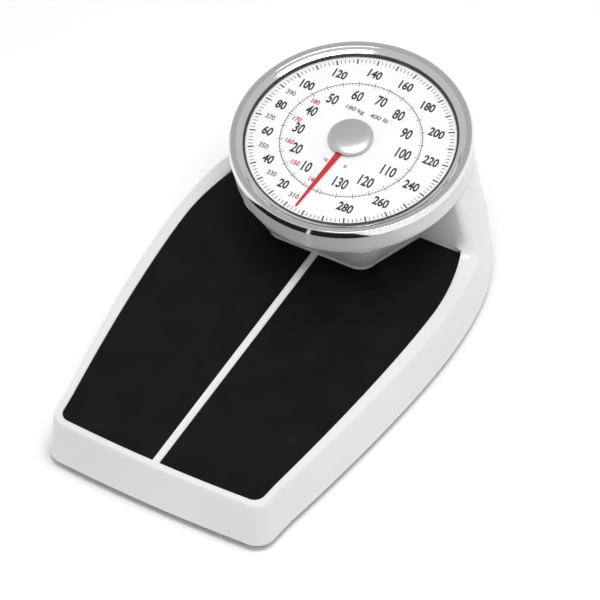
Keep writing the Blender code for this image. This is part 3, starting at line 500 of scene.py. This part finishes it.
def rear_run(waist, centre, end, power, start_y):
    share = min(1.0, max(0.0, (start_y - centre) / (end - centre)))
    first = math.asin(share ** (power / 2.0))
    points = []
    for step in range(REAR_COUNT):
        turn = blend(first, math.pi / 2, step / (REAR_COUNT - 1))
        x = waist * max(0.0, math.cos(turn)) ** (2.0 / power)
        y = centre + (end - centre) * math.sin(turn) ** (2.0 / power)
        points.append((0.0 if step == REAR_COUNT - 1 else x, y))
    return points


def tower_height(y, share):
    """Height on the tower at a share of the way from the top face to the collar's tilted foot."""
    climb = (y - DIAL_CENTRE.y) * math.tan(DIAL_TILT)
    return blend(TOP, DIAL_CENTRE.z + COLLAR_FOOT / math.cos(DIAL_TILT) + climb, share)


def tower_outside(share):
    ease = max(0.0, 1.0 - share) ** TOWER_EASE
    top_end = WING_CENTRE_Y + (COLLAR_RADIUS - 0.8) * math.cos(DIAL_TILT)
    waist = blend(WING_TOP_RADIUS, TOP_HALF_WIDTH, ease)
    centre = blend(WING_CENTRE_Y, WAIST_Y, ease)
    end = blend(top_end, REAR_Y - 1.0, ease)
    return waist, centre, end, blend(2.0, OUTLINE_POWER, ease)


def corner_edge(level):
    waist, centre, end, power = tower_outside(level)
    return rear_half_width(TOWER_WALL_Y + TOWER_CORNER, waist, centre, end, power) - TOWER_CORNER


def tower_ring(front_share, rear_share):
    """Half ring of the tower: chin, wall beside it, rounded wing corner and rear."""
    half = blend(CHIN_HALF_WIDTH, CHIN_TOP_HALF_WIDTH, front_share)
    front = blend(CHIN_FRONT_Y, CHIN_TOP_FRONT_Y, front_share)
    corner = blend(CHIN_CORNER, CHIN_TOP_CORNER, front_share)
    wall_x = blend(CHIN_WALL_HALF_WIDTH, CHIN_TOP_WALL_HALF_WIDTH, front_share)
    pairs = [((half - corner) * share, front) for share in FRONT_SHARES]
    for share in ARC_SHARES:
        turn = math.radians(-90 + 80 * share)
        pairs.append((half - corner + corner * math.cos(turn), front + corner + corner * math.sin(turn)))
    last = pairs[-1]
    for step in range(1, CHIN_COUNT + 1):
        share = step / CHIN_COUNT
        pairs.append((blend(last[0], wall_x, share), blend(last[1], TOWER_WALL_Y, share)))
    edge_x = corner_edge(front_share)
    for step in range(1, WALL_COUNT + 1):
        pairs.append((blend(wall_x, edge_x, step / (WALL_COUNT + 1)), TOWER_WALL_Y))
    points = [(x, y, tower_height(y, front_share)) for x, y in pairs]
    for step in range(CORNER_COUNT):
        share = step / (CORNER_COUNT - 1)
        level = blend(front_share, rear_share, smooth(share))
        edge = corner_edge(level)
        turn = math.radians(-90 + 90 * share)
        x = edge + TOWER_CORNER * math.cos(turn)
        y = TOWER_WALL_Y + TOWER_CORNER + TOWER_CORNER * math.sin(turn)
        points.append((x, y, tower_height(y, level)))
    outer = tower_outside(rear_share)
    for x, y in rear_run(*outer, TOWER_WALL_Y + TOWER_CORNER + REAR_START):
        points.append((x, y, tower_height(y, rear_share)))
    return points


def cover_skirt_ring(height, z, rear_share, rear_z=None):
    points = [(x, y, z) for x, y in skirt_ring(height)]
    last_y = points[-1][1]
    start_y = TOWER_WALL_Y + TOWER_CORNER + REAR_START
    waist = blend(FOOT_HALF_WIDTH, TOP_HALF_WIDTH, height)
    if rear_z is None:
        curve = tower_outside(rear_share)
        rear = [(x, y, tower_height(y, rear_share)) for x, y in rear_run(*curve, start_y)]
    else:
        curve = (waist, WAIST_Y, blend(REAR_Y, REAR_Y - 1.0, height), OUTLINE_POWER)
        rear = [(x, y, rear_z) for x, y in rear_run(*curve, start_y)]
    for step in range(1, CORNER_COUNT + 1):
        share = step / (CORNER_COUNT + 1)
        y = blend(last_y, rear[0][1], share)
        level = smooth(share)
        flat = rear_half_width(y, waist, WAIST_Y, REAR_Y, OUTLINE_POWER)
        climbed = rear_half_width(y, *curve)
        points.append((blend(flat, climbed, level), y, blend(z, rear[0][2], level)))
    return points + rear


def collar_ring(radius, level, count, wing_radius):
    """Half ring on the collar, with its own radius along the wing."""
    front = count - REAR_COUNT
    points = []
    for step in range(count):
        if step < front:
            turn = blend(-90.0, 6.0, step / front)
        else:
            turn = blend(6.0, 90.0, (step - front) / (REAR_COUNT - 1))
        across = math.cos(math.radians(turn))
        on_wing = min(max(0.0, (turn + 25.0) / 31.0), 1.5 * across, 1.0)
        reach = blend(radius, wing_radius, smooth(on_wing))
        x = 0.0 if step in (0, count - 1) else reach * across
        points.append(dial_point(x, reach * math.sin(math.radians(turn)), level))
    return points


def whole_ring(half):
    return half + [(-x, y, z) for x, y, z in reversed(half[1:-1])]


def ease_wing_foot(halves):
    """Relax the grid where the rim turns up into the wing, so that the two flow together."""
    for _ in range(RELAX_ROUNDS):
        relaxed = [list(half) for half in halves]
        for level in range(8, len(halves) - 9):
            for step in range(1, len(halves[0]) - 1):
                here = Vector(halves[level][step])
                side = smooth((here.x - 98.0) / 14.0)
                run = smooth((here.y - 84.0) / 14.0) * smooth((172.0 - here.y) / 20.0)
                rise = smooth((92.0 - here.z) / 22.0)
                share = 0.6 * side * run * rise
                if share > 0.0:
                    around = (Vector(halves[level - 1][step]) + Vector(halves[level + 1][step])
                              + Vector(halves[level][step - 1]) + Vector(halves[level][step + 1])) / 4
                    relaxed[level][step] = tuple(here.lerp(around, share))
        halves = relaxed
    return halves


def cover_rings():
    halves = []
    for height, z, rear_z in ((0.0, SKIRT_FOOT, SKIRT_FOOT), (0.03, SKIRT_FOOT + 0.8, SKIRT_FOOT + 0.8),
                              (0.25, 20.0, 20.0), (0.45, 32.0, 32.0), (0.62, 41.0, 41.0),
                              (0.70, 45.0, 44.5), (0.77, 47.7, 47.5), (0.86, 49.4, 49.6)):
        halves.append(cover_skirt_ring(height, z, 0.0, rear_z))
    halves.append(cover_skirt_ring(0.97, TOP, 0.03))
    halves.append(cover_skirt_ring(1.06, TOP, 0.06))
    for front_share, rear_share in ((0.0, 0.10), (0.03, 0.13), (0.12, 0.20), (0.28, 0.34), (0.46, 0.50),
                                    (0.64, 0.66), (0.82, 0.82), (0.94, 0.92), (1.0, 0.97)):
        halves.append(tower_ring(front_share, rear_share))
    count = len(halves[0])
    full = COLLAR_RADIUS
    wing = WING_TOP_RADIUS
    for radius, level, wing_radius in ((full - 1.1, COLLAR_FOOT + 0.15, wing - 0.6),
                                       (full - 0.3, COLLAR_FOOT + 0.7, wing - 0.2),
                                       (full, COLLAR_FOOT + 1.8, wing - 0.2),
                                       (full, -13.0, wing - 0.4),
                                       (full, -6.0, wing - 0.8),
                                       (full, COLLAR_TOP - 1.4, full),
                                       (full - 0.3, COLLAR_TOP - 0.4, full - 0.3),
                                       (full - 1.2, COLLAR_TOP, full - 1.2),
                                       (COLLAR_OPENING, COLLAR_TOP, COLLAR_OPENING)):
        halves.append(collar_ring(radius, level, count, wing_radius))
    return [whole_ring(half) for half in ease_wing_foot(halves)]


def mat_outline(grow):
    """Half outline of one mat, grown outwards by the given amount."""
    half = MAT_FRONT_HALF_WIDTH
    corner = 9.0
    points = [(RIB_HALF_WIDTH + MAT_CLEARANCE - grow, MAT_FRONT_Y - grow)]
    for share in (0.2, 0.4, 0.6, 0.8):
        x = (half - corner) * share
        points.append((x, MAT_FRONT_Y + MAT_CROWN * x * x - grow))
    front = MAT_FRONT_Y + MAT_CROWN * (half - corner) ** 2
    reach = corner + grow
    for share in ARC_SHARES:
        turn = math.radians(-90 + 88 * share)
        points.append((half - corner + reach * math.cos(turn), front + corner + reach * math.sin(turn)))
    for step in range(1, 17):
        y = blend(front + corner, WAIST_Y, step / 16)
        points.append((side_half_width(y, half, MAT_HALF_WIDTH) + grow, y))
    for step in range(1, 9):
        share = step / 8
        points.append((MAT_HALF_WIDTH - share ** 2 * 11.0 + grow, blend(WAIST_Y, MAT_BACK_Y + grow, share)))
    points.append((CHIN_WALL_HALF_WIDTH + MAT_CLEARANCE - grow, MAT_BACK_Y + grow))
    turn_x = CHIN_HALF_WIDTH - CHIN_CORNER
    reach = CHIN_CORNER + MAT_CLEARANCE - grow
    for share in reversed(ARC_SHARES):
        turn = math.radians(-90 + 80 * share)
        points.append((turn_x + reach * math.cos(turn), CHIN_FRONT_Y + CHIN_CORNER + reach * math.sin(turn)))
    points.append((RIB_HALF_WIDTH + MAT_CLEARANCE - grow, CHIN_FRONT_Y - MAT_CLEARANCE + grow))
    return points


def cover():
    """The white moulding: one shell with two mat recesses and the zero wheel's slot."""
    points, faces = loft(cover_rings(), close_ends=False)
    shell = piece("cover_shell", points, faces, LOOKS["white_shell"], None, None, angle=60)
    solidify = shell.modifiers.new("wall", "SOLIDIFY")
    solidify.thickness = WALL * MM
    solidify.offset = -1.0
    solidify.use_even_offset = True
    apply_modifiers(shell)
    for side in (1.0, -1.0):
        outline = [(x * side, y) for x, y in mat_outline(MAT_CLEARANCE)]
        recess = prism(outline, TOP - RECESS, TOP + 6.0)
        cut(shell, piece("recess_tool", *recess, LOOKS["white_shell"], None, None))
    slot_low = WHEEL_LOW.z - 2.6
    slot_high = WHEEL_HIGH.z + 2.4
    corners = [(-21.5, slot_low), (21.5, slot_low), (21.5, slot_high), (-21.5, slot_high)]
    outline = rounded(corners, (1.2, 1.2, 1.2, 1.2))
    shape = loft([[(x, y, z) for x, z in outline] for y in (203.0, 225.0)])
    cut(shell, piece("slot_tool", *shape, LOOKS["white_shell"], None, None))
    shell.data.shade_smooth()
    shell.data.set_sharp_from_angle(angle=math.radians(40))
    finish_piece(shell, "platform", ("platform_cover",))
    return shell


LIP_LEVEL = TOP - 0.55


def lip_tube(name, route, radius):
    """A closed bead along a route of points: the rounded lip of the moulding."""
    sides = 8
    count = len(route)
    rings = []
    for step in range(count):
        here = Vector((*route[step], 0.0))
        run = (Vector((*route[(step + 1) % count], 0.0)) - Vector((*route[step - 1], 0.0))).normalized()
        out = Vector((run.y, -run.x, 0.0))
        section = [here + out * x + Vector((0, 0, LIP_LEVEL + z)) for x, z in circle(radius, sides)]
        rings.append([tuple(point) for point in section])
    points, faces = loft(rings, close_ends=False, ring_closed=True)
    return piece(name, points, faces, LOOKS["white_shell"], "platform", "white_shell", angle=80)


def mats():
    low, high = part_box("mat_right")
    for name, side in (("mat_right", 1.0), ("mat_left", -1.0)):
        outline = [(x * side, y) for x, y in mat_outline(0.0)]
        panel = prism(outline, low.z / MM, high.z / MM)
        look = LOOKS["mat_rubber"]
        bevel(piece(name + "_panel", *panel, look, "platform", "mat_rubber", stands_for=(name,)), 0.45, 3)
        route = [(x * side, y) for x, y in mat_outline(MAT_CLEARANCE + 0.75)]
        lip_tube("lip_" + name[4:], route, 0.85)


# ---------------------------------------------------------------- the dial head
ROUND = 144


def bezel():
    """Chrome ring with a short steep wall, a rounded crest and a slope down to the window."""
    shelf = COLLAR_TOP + 0.6
    step = FACE_LEVEL + 1.7
    lip = BEZEL_RADIUS - 1.0
    corners = [(BEZEL_RADIUS - 0.1, 3.8), (BEZEL_RADIUS - 0.9, 9.2), (98.2, 9.9), (95.4, 9.9), (92.6, 7.8),
               (VISIBLE_RADIUS, 5.6), (VISIBLE_RADIUS, step), (RIM_RADIUS, step), (RIM_RADIUS, shelf),
               (lip, shelf), (lip, 3.8)]
    profile = rounded(corners, (0.2, 0.9, 1.5, 2.0, 2.2, 0.3, 0.0, 0.0, 0.0, 0.0, 0.2), 6)
    piece("bezel_ring", *on_dial(turned(profile, ROUND)), LOOKS["chrome"], "base", "chrome", 50, ("bezel",))
    outer, inner = VISIBLE_RADIUS - 0.1, VISIBLE_RADIUS - 1.2
    # Dark rubber seal just inside the window: partly a real seal and partly painted shade, its black standing in
    # for the shadow and reflection at the bezel's inner edge.
    shade_seal = rounded([(outer, 4.5), (outer, 6.2), (inner, 5.8), (inner, 4.5)], (0.1, 0.5, 0.4, 0.1), 4)
    piece("window_shade_seal", *on_dial(turned(shade_seal, ROUND)), LOOKS["foot_rubber"], "base", "foot_rubber", 50)


def lens():
    edge, rise, low, thick = VISIBLE_RADIUS - 1.4, 8.0, FACE_LEVEL + 0.3, 1.1
    radii = [edge * math.sin(math.pi * step / 34) for step in range(1, 17)]

    def dome(radius, lift):
        return low + lift + rise * (1.0 - (radius / edge) ** 4)

    profile = [(0.0, dome(0.0, 0.0))] + [(radius, dome(radius, 0.0)) for radius in radii]
    profile += [(edge, low), (RIM_RADIUS, low), (RIM_RADIUS, low + thick), (edge, low + thick)]
    profile += [(radius, dome(radius, thick)) for radius in reversed(radii)] + [(0.0, dome(0.0, thick))]
    window = on_dial(turned(profile, 96))
    piece("lens_dome", *window, LOOKS["clear_lens"], "base", "clear_lens", 50, ("lens",))


def dial_plate():
    low = FACE_LEVEL - 1.0
    profile = [(FACE_RADIUS, low), (FACE_RADIUS, FACE_LEVEL), (3.0, FACE_LEVEL), (3.0, low)]
    disc = on_dial(turned(profile, ROUND))
    piece("dial_plate", *disc, LOOKS["face_white"], "base", "face_white", 35, ("dial_face",))


INK_LOW = FACE_LEVEL + 0.02
INK_HIGH = FACE_LEVEL + 0.09


def place_of(turn_degrees, radius):
    """Point on the face at an angle clockwise from six o'clock."""
    turn = math.radians(turn_degrees)
    return -math.sin(turn) * radius, -math.cos(turn) * radius


def ring_line(radius, width, name, look):
    profile = [(radius + width / 2, INK_LOW), (radius + width / 2, INK_HIGH), (radius - width / 2, INK_HIGH),
               (radius - width / 2, INK_LOW)]
    piece(name, *on_dial(turned(profile, ROUND)), look, "base", "face_white", 30)


def ticks(name, turns, inner, outer, width, look):
    points, faces = [], []
    for turn in turns:
        angle = math.radians(-turn)
        outline = [(-width / 2, -outer), (width / 2, -outer), (width / 2, -inner), (-width / 2, -inner)]
        outline = [(x * math.cos(angle) - y * math.sin(angle), x * math.sin(angle) + y * math.cos(angle))
                   for x, y in outline]
        bar, sides = prism(outline, INK_LOW, INK_HIGH)
        faces += [tuple(number + len(points) for number in side) for side in sides]
        points += bar
    piece(name, *on_dial((points, faces)), look, "base", "face_white", 30)


def lettering(name, labels, look, height, squeeze=0.84, weight=0.012):
    """Upright printed labels, given as (text, x, y), as one thin raised piece."""
    parts = []
    for text, x, y in labels:
        curve = bpy.data.curves.new(name, "FONT")
        curve.body = text
        curve.align_x = "CENTER"
        curve.align_y = "CENTER"
        curve.size = height / 0.73
        curve.offset = weight * curve.size
        curve.extrude = (INK_HIGH - INK_LOW) / 2
        curve.resolution_u = 4
        obj = bpy.data.objects.new(name, curve)
        bpy.context.scene.collection.objects.link(obj)
        bpy.context.view_layer.update()
        mesh = bpy.data.meshes.new_from_object(obj.evaluated_get(bpy.context.evaluated_depsgraph_get()))
        bpy.data.objects.remove(obj, do_unlink=True)
        level = (INK_HIGH + INK_LOW) / 2
        mesh.transform(Matrix.Translation((x, y, level)) @ Matrix.Diagonal((squeeze, 1.0, 1.0, 1.0)))
        parts.append(mesh)
    work = bmesh.new()
    for mesh in parts:
        work.from_mesh(mesh)
        bpy.data.meshes.remove(mesh)
    bmesh.ops.remove_doubles(work, verts=work.verts, dist=0.001)
    work.transform(Matrix.Diagonal((MM, MM, MM, 1.0)) @ DIAL_PLACE)
    mesh = bpy.data.meshes.new(name)
    work.to_mesh(mesh)
    work.free()
    mesh.materials.clear()
    mesh.materials.append(look)
    mesh.shade_flat()
    obj = bpy.data.objects.new(name, mesh)
    bpy.context.scene.collection.objects.link(obj)
    finish_piece(obj, "base")


KG_PER_TURN = 136.078
LB_PER_TURN = 300.0


def printing():
    kg_turn = 360.0 / KG_PER_TURN
    lb_turn = 360.0 / LB_PER_TURN
    ring_line(59.6, 0.7, "kg_circle", INK_GREY)
    small_kg = [value * kg_turn for value in range(137) if value % 5]
    small_lb = [value * lb_turn for value in range(0, 300, 2) if value % 10]
    ticks("kg_marks", small_kg, 57.6, 59.6, 0.36, INK_GREY)
    ticks("kg_marks_five", [value * kg_turn for value in range(0, 137, 5)], 56.4, 61.4, 0.62, INK_GREY)
    ticks("lb_marks", small_lb, 82.2, 85.6, 0.55, INK_BLACK)
    ticks("lb_marks_ten", [value * lb_turn for value in range(0, 300, 10)], 81.0, 86.2, 1.25, INK_BLACK)
    kg = [(str(value), *place_of(value * kg_turn, 46.0)) for value in range(10, 131, 10)]
    lettering("kg_numbers", kg, INK_BLACK, 10.4, 0.66, 0.026)
    lb = [(str(value), *place_of(value * lb_turn, 71.0)) for value in range(20, 281, 20)]
    lettering("lb_numbers", lb, INK_BLACK, 8.6, 0.76, 0.034)
    second = [(str(300 + value), *place_of(value * lb_turn, 73.0)) for value in range(10, 91, 20)]
    lettering("lb_second_turn", second, INK_GREY, 5.0, 0.86, 0.026)
    red = [(str(value), *place_of((value - KG_PER_TURN) * kg_turn, 51.5)) for value in range(140, 181, 10)]
    lettering("kg_second_turn", red, INK_RED, 4.8, 0.86, 0.030)
    lettering("capacity", [("180 kg   400 lb", -1.0, 29.5)], INK_BLUE, 4.4, 1.12, 0.022)
    lettering("units", [("kg", -9.0, -27.0)], INK_RED, 3.4, 0.9, 0.016)
    lettering("units_grey", [("lb", 9.0, -27.0)], INK_GREY, 3.4, 0.9, 0.016)


def pointer():
    low = FACE_LEVEL + 0.6
    root, tip = 2.9, 0.95
    outline = [(-root, 3.0), (-root, -15.0), (-tip, -POINTER_REACH + 2.5), (0.0, -POINTER_REACH),
               (tip, -POINTER_REACH + 2.5), (root, -15.0), (root, 3.0)]
    blade = on_dial(prism(outline, low, low + 0.8), -POINTER_REST)
    red = LOOKS["pointer_red"]
    bevel(piece("pointer_needle", *blade, red, "pointer", "pointer_red", 30, ("pointer",)), 0.22, 2)
    corners = [(5.4, low - 0.1), (5.4, low + 1.7), (1.5, low + 1.7), (1.5, low - 0.1)]
    profile = rounded(corners, (0.3, 0.3, 0.0, 0.0))
    piece("pointer_boss", *on_dial(turned(profile, 40)), red, "pointer", "pointer_red", 40)


def hub_cap():
    low = FACE_LEVEL + 3.1
    profile = [(0.0, low), (18.6, low)]
    profile += [(HUB_CAP_RADIUS, low + 0.35), (HUB_CAP_RADIUS, low + 0.7)]
    for step in range(1, 15):
        turn = math.radians(90 * step / 15)
        profile.append((HUB_CAP_RADIUS * math.cos(turn) ** 0.55, low + 0.7 + 3.5 * math.sin(turn) ** 1.2))
    profile.append((0.0, low + 4.2))
    piece("hub_dome", *on_dial(turned(profile, 72)), SATIN_CHROME, "pointer", "chrome", 50, ("hub_cap",))


# ---------------------------------------------------------------- mechanism
def coil_spring():
    """Close-wound extension spring with its head on the hanger and its foot on the plate, built once at rest
    length and attached to no body.
    """
    turns, around, wire, radius = 13, 28, 1.0, 7.0
    foot, head = SPRING_LOW.z, SPRING_HIGH.z
    axis = ((SPRING_LOW.x + SPRING_HIGH.x) / 2, (SPRING_LOW.y + SPRING_HIGH.y) / 2)
    steps = turns * around
    rings = []
    for step in range(steps + 1):
        turn = 2 * math.pi * step / around
        out = Vector((math.cos(turn), math.sin(turn), 0.0))
        centre = Vector((*axis, foot + wire + (head - foot - 2 * wire) * step / steps)) + out * radius
        section = [centre + out * x + Vector((0, 0, z)) for x, z in circle(wire, 10)]
        rings.append([tuple(point) for point in section])
    spring = piece("coil_spring", *loft(rings), LOOKS["spring_steel"], None, None, 80)
    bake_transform(spring)
    finish_piece(spring, None, ("main_spring",))


SHARP_NODES = {"base_tray": 0.5, "zero_wheel": 0.5}


def dress_cad_nodes():
    """Give every carried-over node its slot's material and soft machined edges."""
    slots = {item["node"]: item["material_slot"] for item in frame["record"]["subparts"]}
    for name, node in NODES.items():
        node.data.materials.clear()
        node.data.materials.append(LOOKS[slots[name]])
        if node.hide_render:
            continue
        bevel(node, SHARP_NODES.get(name, 0.25), 2, 50.0)


# ---------------------------------------------------------------- stage, light and camera
AZIMUTH = math.radians(28.92)
ELEVATION = math.radians(46.77)
DISTANCE = 2.4755
AIM = Vector((15.04, 1.77, TOP)) * MM
LENS_MM = 180.0


def stage():
    made, shader = new_material("floor_white", (0.93, 0.93, 0.93), 0.6)
    vary_colour(made, shader, noise_of(made, 3.0, 2.0), (0.925, 0.925, 0.928), (0.935, 0.935, 0.935))
    size = 6.0
    points = [(-size / MM, -size / MM, -0.05), (size / MM, -size / MM, -0.05), (size / MM, size / MM, -0.05),
              (-size / MM, size / MM, -0.05)]
    floor = piece("floor", points, [(0, 1, 2, 3)], made, None, None)


def area_light(name, place, aim, size, power, colour=(1.0, 1.0, 1.0)):
    data = bpy.data.lights.new(name, "AREA")
    data.shape = "RECTANGLE"
    data.size, data.size_y = size
    data.energy = power
    data.color = colour
    lamp = bpy.data.objects.new(name, data)
    lamp.location = place
    lamp.rotation_euler = (Vector(aim) - Vector(place)).to_track_quat("-Z", "Y").to_euler()
    bpy.context.scene.collection.objects.link(lamp)


# Direction of the sky's dimmer patch: the one that a flat mirror on the dial shows to the camera.
DIM_PATCH = (-0.331, 0.335, 0.8825)


def lights():
    """Soft white studio: the sky is dimmer in one patch, which the chrome ring's crest mirrors."""
    world = bpy.data.worlds.new("studio")
    world.use_nodes = True
    background = world.node_tree.nodes["Background"]
    background.inputs["Color"].default_value = (1.0, 1.0, 1.0, 1.0)
    place = world.node_tree.nodes.new("ShaderNodeTexCoord")
    facing = world.node_tree.nodes.new("ShaderNodeVectorMath")
    facing.operation = "DOT_PRODUCT"
    facing.inputs[1].default_value = DIM_PATCH
    level = world.node_tree.nodes.new("ShaderNodeMapRange")
    level.inputs["From Min"].default_value = 0.86
    level.inputs["From Max"].default_value = 0.97
    level.inputs["To Min"].default_value = 0.62
    level.inputs["To Max"].default_value = 0.48
    world.node_tree.links.new(place.outputs["Generated"], facing.inputs[0])
    world.node_tree.links.new(facing.outputs["Value"], level.inputs["Value"])
    world.node_tree.links.new(level.outputs["Result"], background.inputs["Strength"])
    bpy.context.scene.world = world
    area_light("key", (0.55, -0.15, 2.0), (0, 0, 0.05), (1.0, 1.0), 15.0)
    area_light("top", (0.15, -0.35, 2.1), (0, 0, 0.05), (1.0, 1.0), 13.0)
    bpy.context.scene.view_settings.view_transform = "Standard"


def camera():
    forward = Vector((-math.sin(AZIMUTH) * math.cos(ELEVATION), math.cos(AZIMUTH) * math.cos(ELEVATION),
                      -math.sin(ELEVATION)))
    data = bpy.data.cameras.new("camera")
    data.lens = LENS_MM
    data.sensor_width = 36.0
    data.clip_start = 0.05
    data.clip_end = 50.0
    holder = bpy.data.objects.new("camera", data)
    holder.location = AIM - forward * DISTANCE
    holder.rotation_euler = forward.to_track_quat("-Z", "Y").to_euler()
    bpy.context.scene.collection.objects.link(holder)
    bpy.context.scene.camera = holder


camera()
lights()
stage()
cover()
mats()
bezel()
lens()
dial_plate()
printing()
pointer()
hub_cap()
coil_spring()
dress_cad_nodes()
